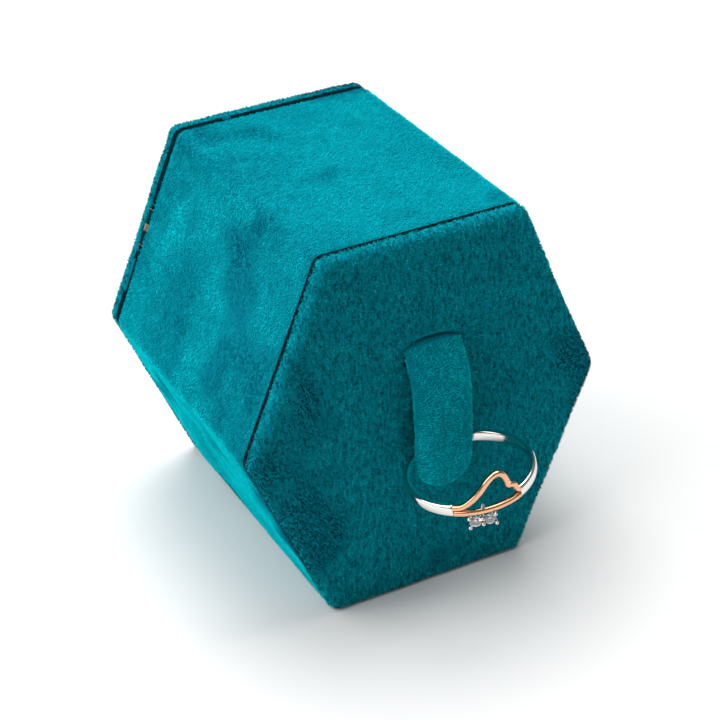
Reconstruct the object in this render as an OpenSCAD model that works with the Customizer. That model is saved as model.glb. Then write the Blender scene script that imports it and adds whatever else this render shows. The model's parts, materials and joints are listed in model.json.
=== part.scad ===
// Hexagonal velvet ring box on its side: a front face with a sprung tongue that
// carries a ring, six board walls in a velvet wrap, and a hinged lid at the back.
// Millimetres. X runs across the front, Y from the front to the lid, Z up.
// The origin is the centre of the face that the box rests on.

/* [Box] */
// Height of the box between its two flats
box_h = 58; // [46:0.5:70]
// Width of the top and bottom flats
flat_w = 31.5; // [26:0.5:38]
// Width of the box across its two side corners
corner_w = 56; // [46:0.5:68]
// Depth of the box from its front face to the back of its lid
box_d = 50; // [40:0.5:62]
// Radius of the long outer corners
corner_r = 1.6; // [0.8:0.1:2.4]

/* [Shell] */
// Thickness of the velvet with its backing
velvet_t = 0.8; // [0.6:0.05:1]
// Thickness of the front board and of the lid board
board_t = 1.6; // [1.2:0.1:2.2]
// Thickness of the six wall panels
panel_t = 3; // [2.6:0.1:4]
// Thickness of the card linings
lining_t = 0.5; // [0.3:0.05:0.8]
// Bevel of the velvet at the front edge
front_bevel = 0.7; // [0.3:0.05:0.9]
// Bevel of the velvet on each side of the seam behind the front
seam_bevel = 0.3; // [0.1:0.05:0.5]
// Bevel of the velvet on each side of the lid's groove
groove_bevel = 0.6; // [0.4:0.05:0.6]
// Clearance between the lid and the walls
lid_gap = 0.4; // [0.3:0.05:0.6]
// How far the lid's lining stays inside the walls
lid_lining_gap = 0.7; // [0.5:0.1:1.5]

/* [Hinge] */
// Length of the hinge
hinge_len = 6; // [6:0.5:12]
// Outer radius of the hinge's knuckles
knuckle_r = 0.6; // [0.6:0.05:0.8]
// Radius of the hinge pin
hinge_pin_r = 0.3; // [0.25:0.05:0.35]
// Running clearance of the pin in the lid's knuckle
pin_clear = 0.05; // [0.03:0.01:0.08]
// Thickness of the hinge leaves
leaf_t = 0.3; // [0.2:0.05:0.3]
// Length of each leaf from the hinge axis
leaf_reach = 3; // [2.4:0.1:3.4]
// Depth of the hinge axis below the outer surface
axis_depth = 0.45; // [0.3:0.05:0.5]
// Gap between two knuckles
knuckle_gap = 0.15; // [0.1:0.05:0.3]
// Clearance around the barrel
barrel_clear = 0.3; // [0.2:0.05:0.4]
// Radius of the brads in the leaves
brad_r = 0.35; // [0.25:0.05:0.4]
// Length of the brads
brad_len = 1.3; // [1:0.1:1.5]

/* [Magnets] */
// Radius of the two closing magnets
magnet_r = 1; // [0.8:0.1:1.1]
// Thickness of the magnet in the wall
case_magnet_t = 2; // [1.5:0.5:4]
// Thickness of the magnet in the lid
lid_magnet_t = 1; // [0.8:0.1:1.1]

/* [Tongue] */
// Width of the tongue
tongue_w = 8.8; // [7.3:0.1:10.6]
// Distance of the tongue's middle from the middle of the face
tongue_x = 0.5; // [-1:0.1:1]
// Distance from the top of the box down to the middle of the slit
slit_down = 16.5; // [14:0.5:20]
// Distance from the slit down to the tip
tongue_drop = 22; // [20:0.5:24]
// Distance of the tongue's middle layer from the face
tongue_out = 3.3; // [3.2:0.1:4]
// Thickness of the tongue with its velvet
tongue_t = 2.8; // [2.4:0.1:2.8]
// Thickness of the stiff strip inside the tongue
core_t = 0.8; // [0.5:0.1:1]
// Velvet left at each side of the stiff strip
core_margin = 1.2; // [0.9:0.1:1.6]
// Height of the rounded tip
tip_h = 4.2; // [3:0.1:5]
// Radius of the pivot bead at the tongue's root
bead_r = 0.9; // [0.7:0.05:0.95]
// Running clearance of the pivot bead
bead_clear = 0.05; // [0.03:0.01:0.08]
// Clearance at each side of the tongue in its slit
slit_clear = 0.35; // [0.3:0.05:0.6]
// Thickness of the plate behind the slit
anchor_t = 1.2; // [1:0.1:1.6]
// Height of the plate behind the slit
anchor_h = 9; // [8:0.5:12]
// Margin of the plate at each side of the tongue
anchor_margin = 3; // [2.5:0.1:4]
// Radius of the rivets that hold the plate
rivet_r = 0.6; // [0.4:0.1:0.8]
// Thickness of the rivets' heads
rivet_head = 0.4; // [0.2:0.1:0.6]

/* [Ring] */
// Outer radius of the ring
ring_r = 9.4; // [7.8:0.1:10.5]
// Thickness of the band from inside to outside
band_t = 1; // [0.8:0.1:1.1]
// Width of the band at the back
band_w = 1.8; // [1.4:0.1:2]
// Width of each strand at the front
strand_w = 0.85; // [0.6:0.05:0.9]
// Clearance between the ring and the velvet face
ring_seat = 0.4; // [0.3:0.05:0.5]
// Clearance between the ring and the tongue inside it
tongue_clear = 0.4; // [0.35:0.05:0.5]
// Distance from the slit down to the ring's centre
ring_drop = 16.3; // [15:0.1:17.5]
// Distance of the ring's centre from the middle of the tongue
ring_shift = 0.4; // [0:0.1:0.6]
// Tilt of the ring, front side up
ring_tilt = 3.9; // [0:0.1:5]
// Roll of the ring, right side up
ring_roll = 7.2; // [0:0.1:9]
// Height of the heart above the band
heart_h = 4.3; // [3.6:0.1:5]
// Radius of the two stones
stone_r = 0.85; // [0.7:0.05:1]
// Distance between the stones' centres
stone_pitch = 2; // [1.8:0.1:2.2]
// Radius of the prongs that hold the stones
prong_r = 0.22; // [0.15:0.01:0.28]

/* [Hidden] */
// The node that is drawn, or "all"

velvet_c = "#00727e";
board_c = "#b9b2a4";
lining_c = "#0a5560";
steel_c = "#c8c8cc";
gold_c = "#e6b088";
silver_c = "#e4dfda";
round_fn = 48;
cut = 1; // How far a cutting shape runs past what it cuts

// Planes along Y, from the front to the back
y_front = -box_d / 2;
y_board = y_front + velvet_t;
y_wall = y_board + board_t;
y_back = box_d / 2;
y_lid_board = y_back - velvet_t;
y_lid = y_lid_board - board_t;
y_rim = y_lid - lid_gap;
y_axis = (y_rim + y_lid) / 2;

// The slanted side: its length and its outward normal
side_dx = (corner_w - flat_w) / 2;
side_len = norm([side_dx, box_h / 2]);
side_nx = (box_h / 2) / side_len;
side_nz = side_dx / side_len;

// Half widths of the outline set in by d
function flat_half(d) = flat_w / 2 - d * (1 - side_nz) / side_nx;
function corner_half(d) = corner_w / 2 - d / side_nx;

// The six corners of the outline set in by d, anticlockwise from the right one
function corners(d) = [
    [corner_half(d), box_h / 2], [flat_half(d), box_h - d], [-flat_half(d), box_h - d],
    [-corner_half(d), box_h / 2], [-flat_half(d), d], [flat_half(d), d]
];

function unit(v) = v / norm(v);

// One corner rounded to radius r, as an arc between its two tangent points
arc_steps = 6;
function round_corner(a, p, b, r) =
    let (
        u = unit(a - p),
        v = unit(b - p),
        half = acos(u * v) / 2,
        c = p + unit(u + v) * r / sin(half),
        t = p + u * r / tan(half) - c,
        sweep = 180 - 2 * half
    )
    [for (i = [0 : arc_steps])
        let (s = i * sweep / arc_steps)
        c + [t[0] * cos(s) - t[1] * sin(s), t[0] * sin(s) + t[1] * cos(s)]];

module outline(d, r = 0) {
    q = corners(d);
    if (r > 0)
        polygon([for (i = [0 : 5]) each round_corner(q[(i + 5) % 6], q[i], q[(i + 1) % 6], r)]);
    else
        polygon(q);
}

// A 2-D shape drawn in X and Z, extruded along Y between two planes
module along_y(y0, y1) {
    translate([0, y1, 0])
        rotate([90, 0, 0])
            linear_extrude(y1 - y0)
                children();
}

module prism(y0, y1, d, r = 0) {
    along_y(y0, y1) outline(d, r);
}

// A rounded prism with a bevel of b0 at y0 and b1 at y1
sliver = 0.01; // Thickness of a layer that a bevel runs to
module bevelled(y0, y1, b0, b1) {
    hull() {
        prism(y0, y0 + sliver, b0, corner_r);
        prism(y0 + b0, y1 - b1, 0, corner_r);
        prism(y1 - sliver, y1, b1, corner_r);
    }
}

// Local frame of the hinge: X along its axis, Z out of the upper left side
hinge_turn = -atan2(side_nx, side_nz);
hinge_mid = [-(flat_w + corner_w) / 4, box_h * 3 / 4];
hinge_at = [hinge_mid[0] + side_nx * axis_depth, y_axis, hinge_mid[1] - side_nz * axis_depth];
module at_hinge() {
    translate(hinge_at)
        rotate([0, hinge_turn, 0])
            children();
}

module rod_x(r, l) {
    rotate([0, 90, 0])
        cylinder(r = r, h = l, center = true, $fn = round_fn);
}

module barrel_relief() {
    at_hinge() rod_x(knuckle_r + barrel_clear, hinge_len + 2 * barrel_clear);
}

// A block that a leaf fills, with its outer face at y and running inwards along Y by side
module leaf_block(y, side) {
    at_hinge()
        translate([-hinge_len / 2, side > 0 ? y - y_axis : y - y_axis - leaf_t, -leaf_reach])
            cube([hinge_len, leaf_t, leaf_reach]);
}

brad_pitch = hinge_len * 0.6;
brad_z = -leaf_reach * 0.65;
module brads(y, side, extra) {
    for (s = [-1, 1])
        at_hinge()
            translate([s * brad_pitch / 2, y - y_axis, brad_z])
                rotate([side > 0 ? -90 : 90, 0, 0])
                    cylinder(r = brad_r, h = brad_len + extra, $fn = round_fn);
}

// Magnet's place: the middle of the wall opposite the hinge
magnet_in = velvet_t + panel_t / 2;
magnet_at = [-hinge_mid[0] - side_nx * magnet_in, box_h / 4 + side_nz * magnet_in];
module magnet(y0, t) {
    translate([magnet_at[0], y0 + t, magnet_at[1]])
        rotate([90, 0, 0])
            cylinder(r = magnet_r, h = t, $fn = round_fn);
}

// ---- Tongue ----
bead_y = y_board + board_t / 2;
slit_z = box_h - slit_down;
tip_z = slit_z - tongue_drop;
// Middle layer of the tongue, as [distance in front of the face, height, half thickness]
tongue_path = [
    [-(bead_y - y_front), slit_z, 0.75],
    [-0.3, slit_z - 0.4, 0.8],
    [0.25 * tongue_out, slit_z - 1.6, 0.9],
    [0.55 * tongue_out, slit_z - 3.5, tongue_t / 2 - 0.2],
    [0.82 * tongue_out, slit_z - 6, tongue_t / 2 - 0.1],
    [0.96 * tongue_out, slit_z - 9, tongue_t / 2],
    [tongue_out, slit_z - 12.5, tongue_t / 2],
    [tongue_out, tip_z, tongue_t / 2]
];
function path_dir(p, i) =
    unit([for (k = [0, 1]) p[min(i + 1, len(p) - 1)][k] - p[max(i - 1, 0)][k]]);
function path_side(p, s, t) = [
    for (i = [0 : len(p) - 1])
        let (d = path_dir(p, i), h = t > 0 ? t : p[i][2])
        [y_front - p[i][0] - s * d[1] * h, p[i][1] - s * d[0] * h]
];
function reversed(v) = [for (i = [len(v) - 1 : -1 : 0]) v[i]];

// A side view in Y and Z, extruded along X to width w about the tongue's middle
module across_x(w) {
    translate([tongue_x - w / 2, 0, 0])
        rotate([90, 0, 90])
            linear_extrude(w)
                children();
}

module tongue_slab(t, w) {
    across_x(w)
        polygon(concat(path_side(tongue_path, 1, t), reversed(path_side(tongue_path, -1, t))));
}

// Front view of a tab of width w whose rounded tip reaches down to z
tip_steps = 16;
module tab(w, z, h) {
    along_y(y_front - 10, y_front + 10)
        translate([tongue_x, 0])
            polygon(concat(
                [[w / 2, slit_z + 5], [-w / 2, slit_z + 5]],
                [for (i = [0 : tip_steps])
                    let (a = 180 + 180 * i / tip_steps)
                    [w / 2 * cos(a), z + h + h * sin(a)]]
            ));
}

ring_x = tongue_x + ring_shift;
ring_y = y_front - ring_seat - ring_r;
ring_in = ring_r - band_t;
ring_z = slit_z - ring_drop;
ring_top = ring_z + 5;

// The space inside the ring that the tongue may fill, open above the ring
module ring_room(extra) {
    translate([ring_x, ring_y, tip_z - cut])
        cylinder(r = ring_in - tongue_clear - extra, h = ring_top - tip_z + cut, $fn = 96);
    translate([tongue_x - tongue_w, y_front - 10, ring_top])
        cube([2 * tongue_w, 20, slit_z]);
}

module tongue_outer() {
    intersection() {
        tongue_slab(0, tongue_w);
        tab(tongue_w, tip_z, tip_h);
        ring_room(0);
    }
}

module bead(extra) {
    translate([tongue_x, bead_y, slit_z])
        rod_x(bead_r + extra, tongue_w - 2 * core_margin + 2 * extra);
}

module core_solid() {
    intersection() {
        tongue_slab(core_t / 2, tongue_w - 2 * core_margin);
        tab(tongue_w - 2 * core_margin, tip_z + core_margin, tip_h);
    }
}

// The slit: a bearing for the bead, flared towards the front
flare_up = 1.4; // Rise of the flare's upper edge at the front
flare_down = 3.9; // Drop of the flare's lower edge at the front
module slit() {
    bead(bead_clear);
    across_x(tongue_w + 2 * slit_clear)
        polygon([
            [bead_y, slit_z + bead_r - 0.1], [y_front - cut, slit_z + flare_up],
            [y_front - cut, slit_z - flare_down], [bead_y, slit_z - bead_r + 0.1]
        ]);
}

anchor_w = tongue_w + 2 * anchor_margin;
rivet_dx = tongue_w / 2 + anchor_margin / 2;
module rivets(y0, y1, r) {
    for (s = [-1, 1])
        translate([tongue_x + s * rivet_dx, y1, slit_z])
            rotate([90, 0, 0])
                cylinder(r = r, h = y1 - y0, $fn = round_fn);
}

// ---- Case ----
module front_velvet() {
    color(velvet_c)
        difference() {
            bevelled(y_front, y_wall, front_bevel, seam_bevel);
            prism(y_board, y_wall + cut, velvet_t);
            slit();
        }
}

module front_board() {
    color(board_c)
        difference() {
            prism(y_board, y_wall, velvet_t);
            slit();
            rivets(y_board - cut, y_wall + cut, rivet_r);
        }
}

module front_lining() {
    color(lining_c)
        difference() {
            prism(y_wall, y_wall + lining_t, velvet_t + panel_t + lining_t);
            translate([tongue_x - anchor_w / 2, y_wall - cut, slit_z - anchor_h / 2])
                cube([anchor_w, 2 * cut + lining_t, anchor_h]);
        }
}

module side_velvet() {
    color(velvet_c)
        difference() {
            bevelled(y_wall, y_rim, seam_bevel, groove_bevel);
            prism(y_wall - cut, y_rim + cut, velvet_t);
            barrel_relief();
        }
}

// Wall panel i, mitred at both ends: 0 is the upper right one, going anticlockwise
module panel(i) {
    o = corners(velvet_t);
    n = corners(velvet_t + panel_t);
    j = (i + 1) % 6;
    color(board_c)
        along_y(y_wall, y_rim)
            polygon([o[i], o[j], n[j], n[i]]);
}

module panel_upper_left() {
    difference() {
        panel(2);
        barrel_relief();
        leaf_block(y_rim, -1);
        brads(y_rim, -1, 0);
    }
}

module panel_lower_right() {
    difference() {
        panel(5);
        magnet(y_rim - case_magnet_t, case_magnet_t + cut);
    }
}

module inner_lining() {
    color(lining_c)
        difference() {
            prism(y_wall, y_rim, velvet_t + panel_t);
            prism(y_wall - cut, y_rim + cut, velvet_t + panel_t + lining_t);
        }
}

module tongue_anchor() {
    color(steel_c)
        difference() {
            translate([tongue_x - anchor_w / 2, y_wall, slit_z - anchor_h / 2])
                cube([anchor_w, anchor_t, anchor_h]);
            bead(bead_clear);
            rivets(y_wall - cut, y_wall + anchor_t + cut, rivet_r);
        }
}

module tongue_rivets() {
    color(steel_c) {
        rivets(y_board, y_wall + anchor_t, rivet_r);
        rivets(y_wall + anchor_t, y_wall + anchor_t + rivet_head, 2 * rivet_r);
    }
}

// ---- Hinge ----
knuckle_len = (hinge_len - 2 * knuckle_gap) / 3;
module hinge_leaf_case() {
    color(gold_c)
        difference() {
            union() {
                leaf_block(y_rim, -1);
                at_hinge() rod_x(knuckle_r, hinge_len);
            }
            at_hinge() {
                cube([knuckle_len + 2 * knuckle_gap, 4 * knuckle_r, 2 * knuckle_r + 0.3], center = true);
                rod_x(hinge_pin_r, hinge_len + cut);
            }
            brads(y_rim + cut, -1, 0);
        }
}

module hinge_leaf_lid() {
    color(gold_c)
        difference() {
            union() {
                intersection() {
                    leaf_block(y_lid, 1);
                    at_hinge()
                        translate([0, 0, -leaf_reach / 2 - knuckle_r - barrel_clear])
                            cube([hinge_len, 4 * knuckle_r, leaf_reach], center = true);
                }
                at_hinge() rod_x(knuckle_r, knuckle_len);
                intersection() {
                    leaf_block(y_lid, 1);
                    at_hinge()
                        cube([knuckle_len, 4 * knuckle_r, 3 * leaf_reach], center = true);
                }
            }
            at_hinge() rod_x(hinge_pin_r + pin_clear, hinge_len + cut);
            brads(y_lid - cut, 1, 0);
        }
}

module hinge_pin() {
    color(gold_c)
        at_hinge() rod_x(hinge_pin_r, hinge_len);
}

module hinge_brads_case() {
    color(steel_c) brads(y_rim, -1, 0);
}

module hinge_brads_lid() {
    color(steel_c) brads(y_lid, 1, 0);
}

module case_magnet() {
    color(steel_c) magnet(y_rim - case_magnet_t, case_magnet_t);
}

// ---- Lid ----
module lid_velvet() {
    color(velvet_c)
        difference() {
            bevelled(y_lid, y_back, groove_bevel, front_bevel);
            prism(y_lid - cut, y_lid_board, velvet_t);
            barrel_relief();
        }
}

module lid_board() {
    color(board_c)
        difference() {
            prism(y_lid, y_lid_board, velvet_t);
            barrel_relief();
            leaf_block(y_lid, 1);
            brads(y_lid, 1, 0);
            magnet(y_lid - cut, lid_magnet_t + cut);
        }
}

module lid_lining() {
    color(lining_c)
        prism(y_lid - lining_t, y_lid, velvet_t + panel_t + lining_t + lid_lining_gap);
}

module lid_magnet() {
    color(steel_c) magnet(y_lid, lid_magnet_t);
}

// ---- Tongue ----
module tongue_core() {
    color(board_c) {
        bead(0);
        core_solid();
    }
}

module tongue_velvet() {
    color(velvet_c)
        difference() {
            tongue_outer();
            core_solid();
            bead(bead_clear);
            translate([tongue_x - tongue_w, bead_y - bead_r / 2, slit_z - 3])
                cube([2 * tongue_w, 5, 6]);
        }
}

// ---- Ring ----
// Local frame of the ring: its axis is Z, and its front is at an angle of 270
module at_ring() {
    translate([ring_x, ring_y, ring_z])
        rotate([-ring_tilt, -ring_roll, 0])
            children();
}

band_mid = ring_r - band_t / 2;
split_l = 225; // Angle where the band splits in two
split_r = 289; // Angle where the two strands meet again
function on_band(a, z) = [band_mid * cos(a), band_mid * sin(a), z];

// A smooth curve through the points p, as n points for each stretch
function bend(p, i, t) =
    let (a = p[max(i - 1, 0)], b = p[i], c = p[i + 1], d = p[min(i + 2, len(p) - 1)])
    0.5 * (2 * b + (c - a) * t + (2 * a - 5 * b + 4 * c - d) * t * t
        + (3 * b - a - 3 * c + d) * t * t * t);
function curve(p, n) = concat(
    [for (i = [0 : len(p) - 2]) for (k = [0 : n - 1]) bend(p, i, k / n)],
    [p[len(p) - 1]]
);

// Section of the band with rounded edges, as [out, up] in parts of its half sizes
section = [
    [1, 0.45], [0.7, 0.9], [0, 1], [-0.7, 0.9], [-1, 0.45],
    [-1, -0.45], [-0.7, -0.9], [0, -1], [0.7, -0.9], [1, -0.45]
];

// A band that runs along c, where each point is [angle, height, width].
// Its two ends lie in planes through the ring's axis, so that they meet the next piece.
module band(c, ends = 1) {
    n = len(c);
    m = len(section);
    q = [for (v = c) on_band(v[0], v[1])];
    rings = [
        for (i = [0 : n - 1])
            let (
                out = [cos(c[i][0]), sin(c[i][0]), 0],
                way = (i == 0 || i == n - 1) ? ends * [-out[1], out[0], 0]
                    : unit(q[i + 1] - q[i - 1]),
                up = unit(cross(out, way))
            )
            for (s = section)
                q[i] + out * s[0] * band_t / 2 + up * s[1] * c[i][2] / 2
    ];
    polyhedron(
        rings,
        concat(
            [[for (k = [0 : m - 1]) k]],
            [for (i = [0 : n - 2]) for (k = [0 : m - 1])
                let (l = (k + 1) % m)
                [i * m + k, (i + 1) * m + k, (i + 1) * m + l, i * m + l]],
            [[for (k = [m - 1 : -1 : 0]) (n - 1) * m + k]]
        ),
        convexity = 6
    );
}

shank_steps = 56;
module ring_shank() {
    from = split_r;
    to = split_l + 360;
    color(silver_c)
        at_ring()
            band([for (i = [0 : shank_steps])
                let (
                    a = from + (to - from) * i / shank_steps,
                    f = (1 + sin(a)) / 2
                )
                [a, 0, 2 * strand_w + (band_w - 2 * strand_w) * f]]);
}

// Heart strand, as [angle, height in parts of the heart's height]
heart_points = [
    [split_l, 0], [234, 0.05], [244, 0.3], [251, 0.55], [257, 0.8], [263, 0.97],
    [269, 1], [273.4, 0.85], [276, 0.62], [277.4, 0.42], [280.4, 0.38],
    [284, 0.26], [286.4, 0.08], [split_r, 0]
];
module ring_heart() {
    color(gold_c)
        at_ring()
            band([for (v = curve(heart_points, 4))
                [v[0], strand_w / 2 + heart_h * v[1], strand_w]]);
}

strand_steps = 16;
module ring_strand() {
    color(gold_c)
        at_ring()
            band([for (i = [0 : strand_steps])
                [split_l + (split_r - split_l) * i / strand_steps, -strand_w / 2, strand_w]]);
}

// The stones sit under the lower strand and face outwards and down
stones_a = 249; // Angle of the middle between the stones
stone_z = -strand_w - stone_r - 0.1;
stone_out = ring_r - 0.1;
stone_step = asin(stone_pitch / 2 / stone_out);
module at_stone(s) {
    rotate([0, 0, stones_a + s * stone_step])
        translate([stone_out, 0, stone_z])
            rotate([0, 90, 0])
                children();
}

crown_h = 0.35; // Height of a stone's crown in parts of its radius
pavilion_h = 0.85; // Depth of a stone's pavilion in parts of its radius
module stone() {
    rotate_extrude($fn = 48)
        polygon([
            [0, -pavilion_h * stone_r], [stone_r, 0], [stone_r, 0.06 * stone_r],
            [0.58 * stone_r, crown_h * stone_r], [0, crown_h * stone_r]
        ]);
}

module stones() {
    color("white")
        at_ring()
            for (s = [-1, 1]) at_stone(s) stone();
}

seat_clear = 0.02; // Clearance between a stone and its seat
cup_in = 0.35; // Radius of a cup's hole in parts of the stone's radius
cup_out = 0.9; // Radius of a cup's mouth in parts of the stone's radius
function pavilion_z(f) = -pavilion_h * stone_r * (1 - f) - seat_clear;
module cup() {
    rotate_extrude($fn = 48)
        polygon([
            [cup_in * stone_r, -1.05 * stone_r], [0.65 * stone_r, -1.05 * stone_r],
            [cup_out * stone_r, pavilion_z(cup_out)], [cup_in * stone_r, pavilion_z(cup_in)]
        ]);
}

prong_reach = stone_r + prong_r + seat_clear;
prong_z = -1.15 * stone_r;
prong_h = 1.5 * stone_r;
module prong() {
    translate([0, 0, prong_z])
        cylinder(r = prong_r, h = prong_h, $fn = 40);
    translate([0, 0, prong_z + prong_h])
        sphere(r = prong_r * 1.15, $fn = 40);
}

arm_w = prong_r * 1.4;
module outer_prong(a) {
    rotate([0, 0, a]) {
        translate([prong_reach, 0, 0]) prong();
        translate([0.55 * stone_r, -arm_w / 2, -0.95 * stone_r])
            cube([prong_reach - 0.55 * stone_r, arm_w, arm_w]);
    }
}

// The bridge between the cups carries two prongs that both stones share
shared_x = sqrt(prong_reach * prong_reach - stone_pitch * stone_pitch / 4);
bridge_y = stone_pitch - stone_r;
stem_w = 0.5; // Width of the stem that joins the bridge to the strand
module bridge() {
    translate([-shared_x, -bridge_y / 2, -0.95 * stone_r])
        cube([2 * shared_x, bridge_y, arm_w]);
    translate([stone_z + strand_w, -stem_w / 2, -0.9 * stone_r])
        cube([-stone_z - strand_w, stem_w, 0.6 * stone_r]);
    for (s = [-1, 1])
        translate([s * shared_x, 0, 0]) prong();
}

claw_a = 251; // Angle of the claw that stands above the lower strand
claw_r = 0.35;
claw_h = 0.7;
// Two open cups with prongs under the lower strand, and a claw above it
module stone_setting() {
    color(silver_c)
        at_ring() {
            for (s = [-1, 1])
                at_stone(s) {
                    cup();
                    outer_prong(s * 48);
                    outer_prong(s * 132);
                }
            at_stone(0) bridge();
            rotate([0, 0, claw_a])
                translate([band_mid, 0, 0])
                    cylinder(r1 = claw_r, r2 = claw_r / 5, h = claw_h, $fn = 24);
        }
}

front_velvet();
front_board();
front_lining();
side_velvet();
panel(1);  // panel_top
panel_upper_left();
panel(3);  // panel_lower_left
panel(4);  // panel_bottom
panel_lower_right();
panel(0);  // panel_upper_right
inner_lining();
tongue_anchor();
tongue_rivets();
hinge_leaf_case();
hinge_pin();
hinge_brads_case();
case_magnet();
lid_velvet();
lid_board();
lid_lining();
hinge_leaf_lid();
hinge_brads_lid();
lid_magnet();
tongue_core();
tongue_velvet();
ring_shank();
ring_heart();
ring_strand();
stone_setting();
stones();
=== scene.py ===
"""Looks of a hexagonal velvet ring box that lies on one of its flats.

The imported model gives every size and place. This script adds the velvet with
its pile, the ring's smooth metal, the cut stones, the linings and the studio.
Lengths are in metres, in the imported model's own frame: X across the front,
Y from the front to the lid, Z up.
"""

import json
import math

import bmesh
import bpy
import numpy as np
from mathutils import Matrix, Vector, noise


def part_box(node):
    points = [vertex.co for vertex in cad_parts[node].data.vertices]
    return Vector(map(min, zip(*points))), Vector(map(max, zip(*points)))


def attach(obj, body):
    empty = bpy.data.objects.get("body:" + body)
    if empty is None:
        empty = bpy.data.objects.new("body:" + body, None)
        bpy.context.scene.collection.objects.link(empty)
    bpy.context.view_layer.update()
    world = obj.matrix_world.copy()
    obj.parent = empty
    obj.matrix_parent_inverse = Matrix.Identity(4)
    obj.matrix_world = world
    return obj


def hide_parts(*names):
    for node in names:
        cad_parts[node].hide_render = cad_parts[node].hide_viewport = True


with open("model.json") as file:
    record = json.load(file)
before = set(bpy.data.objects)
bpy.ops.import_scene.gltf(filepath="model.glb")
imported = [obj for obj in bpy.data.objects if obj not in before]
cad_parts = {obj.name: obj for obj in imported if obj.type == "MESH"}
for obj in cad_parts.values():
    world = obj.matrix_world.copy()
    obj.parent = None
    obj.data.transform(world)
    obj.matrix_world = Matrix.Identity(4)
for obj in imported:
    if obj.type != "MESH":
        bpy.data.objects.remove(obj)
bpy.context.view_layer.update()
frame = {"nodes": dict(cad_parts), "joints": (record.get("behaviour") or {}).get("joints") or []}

bl_info = {
    "name": "Velvet ring box",
    "version": (1, 0, 0),
    "blender": (4, 5, 0),
    "location": "View3D > Sidebar > Ring box",
    "description": "Builds a hexagonal velvet ring box with its tongue, ring and lid",
    "category": "Object",
}

MM = 0.001
TAU = 2 * math.pi


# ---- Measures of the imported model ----

def low(node):
    """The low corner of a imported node's box."""
    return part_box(node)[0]


def high(node):
    """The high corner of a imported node's box."""
    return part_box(node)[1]


CLOTH = low("panel_bottom").z - low("side_velvet").z
HEIGHT = high("side_velvet").z - low("side_velvet").z
MIDDLE = HEIGHT / 2
Y_FRONT = low("front_velvet").y
Y_BOARD = low("front_board").y
Y_WALL = low("side_velvet").y
Y_RIM = high("side_velvet").y
Y_LID = low("lid_board").y
Y_LID_BOARD = high("lid_board").y
Y_BACK = high("lid_velvet").y
LINING_IN = low("inner_lining").z
FLAT_AT_CLOTH = high("panel_top").x
CORNER_AT_CLOTH = -low("panel_upper_left").x

# The way out of the upper right side, from the run and rise of that side
_run = CORNER_AT_CLOTH - FLAT_AT_CLOTH
_rise = MIDDLE - CLOTH
SIDE_NX = _rise / math.hypot(_run, _rise)
SIDE_NZ = _run / math.hypot(_run, _rise)

TONGUE_LOW, TONGUE_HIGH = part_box("tongue_velvet")
TONGUE_X = (TONGUE_LOW.x + TONGUE_HIGH.x) / 2
TONGUE_W = TONGUE_HIGH.x - TONGUE_LOW.x
TIP_Z = TONGUE_LOW.z
PIVOTS = {j["name"]: Vector(j["pos_m"]) for j in frame["joints"] if "pos_m" in j}
SLIT = PIVOTS["tongue_flex"]
HINGE = PIVOTS["lid_hinge"]


def flat_half(inset):
    """Half width of the top and bottom flats of the outline set in by inset."""
    return FLAT_AT_CLOTH - (inset - CLOTH) * (1 - SIDE_NZ) / SIDE_NX


def corner_half(inset):
    """Half width across the side corners of the outline set in by inset."""
    return CORNER_AT_CLOTH - (inset - CLOTH) / SIDE_NX


def corners(inset):
    """The six corners of the outline set in by inset, anticlockwise from the right one."""
    flat, corner = flat_half(inset), corner_half(inset)
    top, bottom = HEIGHT - inset, inset
    points = [
        (corner, MIDDLE), (flat, top), (-flat, top),
        (-corner, MIDDLE), (-flat, bottom), (flat, bottom),
    ]
    return [Vector(p) for p in points]


ARC = 6  # steps round each corner
ALONG = 22  # steps along each side


def outline(inset, radius):
    """The hexagon with rounded corners as (x, z), anticlockwise seen from the front."""
    hexagon = corners(inset)
    tangents = []
    for i, corner in enumerate(hexagon):
        to_last = (hexagon[i - 1] - corner).normalized()
        to_next = (hexagon[(i + 1) % 6] - corner).normalized()
        half = to_last.angle(to_next) / 2
        centre = corner + (to_last + to_next).normalized() * radius / math.sin(half)
        start = corner + to_last * radius / math.tan(half) - centre
        sweep = math.pi - 2 * half
        arc = []
        for k in range(ARC + 1):
            turn = Matrix.Rotation(k * sweep / ARC, 2)
            arc.append(centre + turn @ start)
        tangents.append(arc)
    points = []
    for i, arc in enumerate(tangents):
        points.extend(arc)
        after = tangents[(i + 1) % 6][0]
        for k in range(1, ALONG):
            points.append(arc[-1].lerp(after, k / ALONG))
    return points


# ---- Small helpers ----

def colour(text):
    """An sRGB hex value as linear red, green, blue and alpha."""
    parts = [int(text[i:i + 2], 16) / 255 for i in (1, 3, 5)]
    linear = [c / 12.92 if c <= 0.04045 else ((c + 0.055) / 1.055) ** 2.4 for c in parts]
    return (*linear, 1.0)


def add(tree, kind, links=None, **settings):
    """A node with its settings, and values or links for its sockets."""
    made = tree.nodes.new(kind)
    for name, value in settings.items():
        setattr(made, name, value)
    for name, value in (links or {}).items():
        if isinstance(value, bpy.types.NodeSocket):
            tree.links.new(value, made.inputs[name])
        else:
            made.inputs[name].default_value = value
    return made


SAME_POINT = 1e-7  # metres between two points that are taken as one


def piece_from(name, mesh_maker, material, body, replaces=(), smooth=True):
    """A finished piece from a bmesh, with its material and the body it rides on."""
    bm = mesh_maker()
    bmesh.ops.remove_doubles(bm, verts=bm.verts, dist=SAME_POINT)
    bmesh.ops.recalc_face_normals(bm, faces=bm.faces)
    for face in bm.faces:
        face.smooth = smooth
    mesh = bpy.data.meshes.new(name)
    bm.to_mesh(mesh)
    bm.free()
    made = bpy.data.objects.new(name, mesh)
    bpy.context.scene.collection.objects.link(made)
    mesh.materials.append(material)
    settle(made, body, replaces)
    return made


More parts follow.
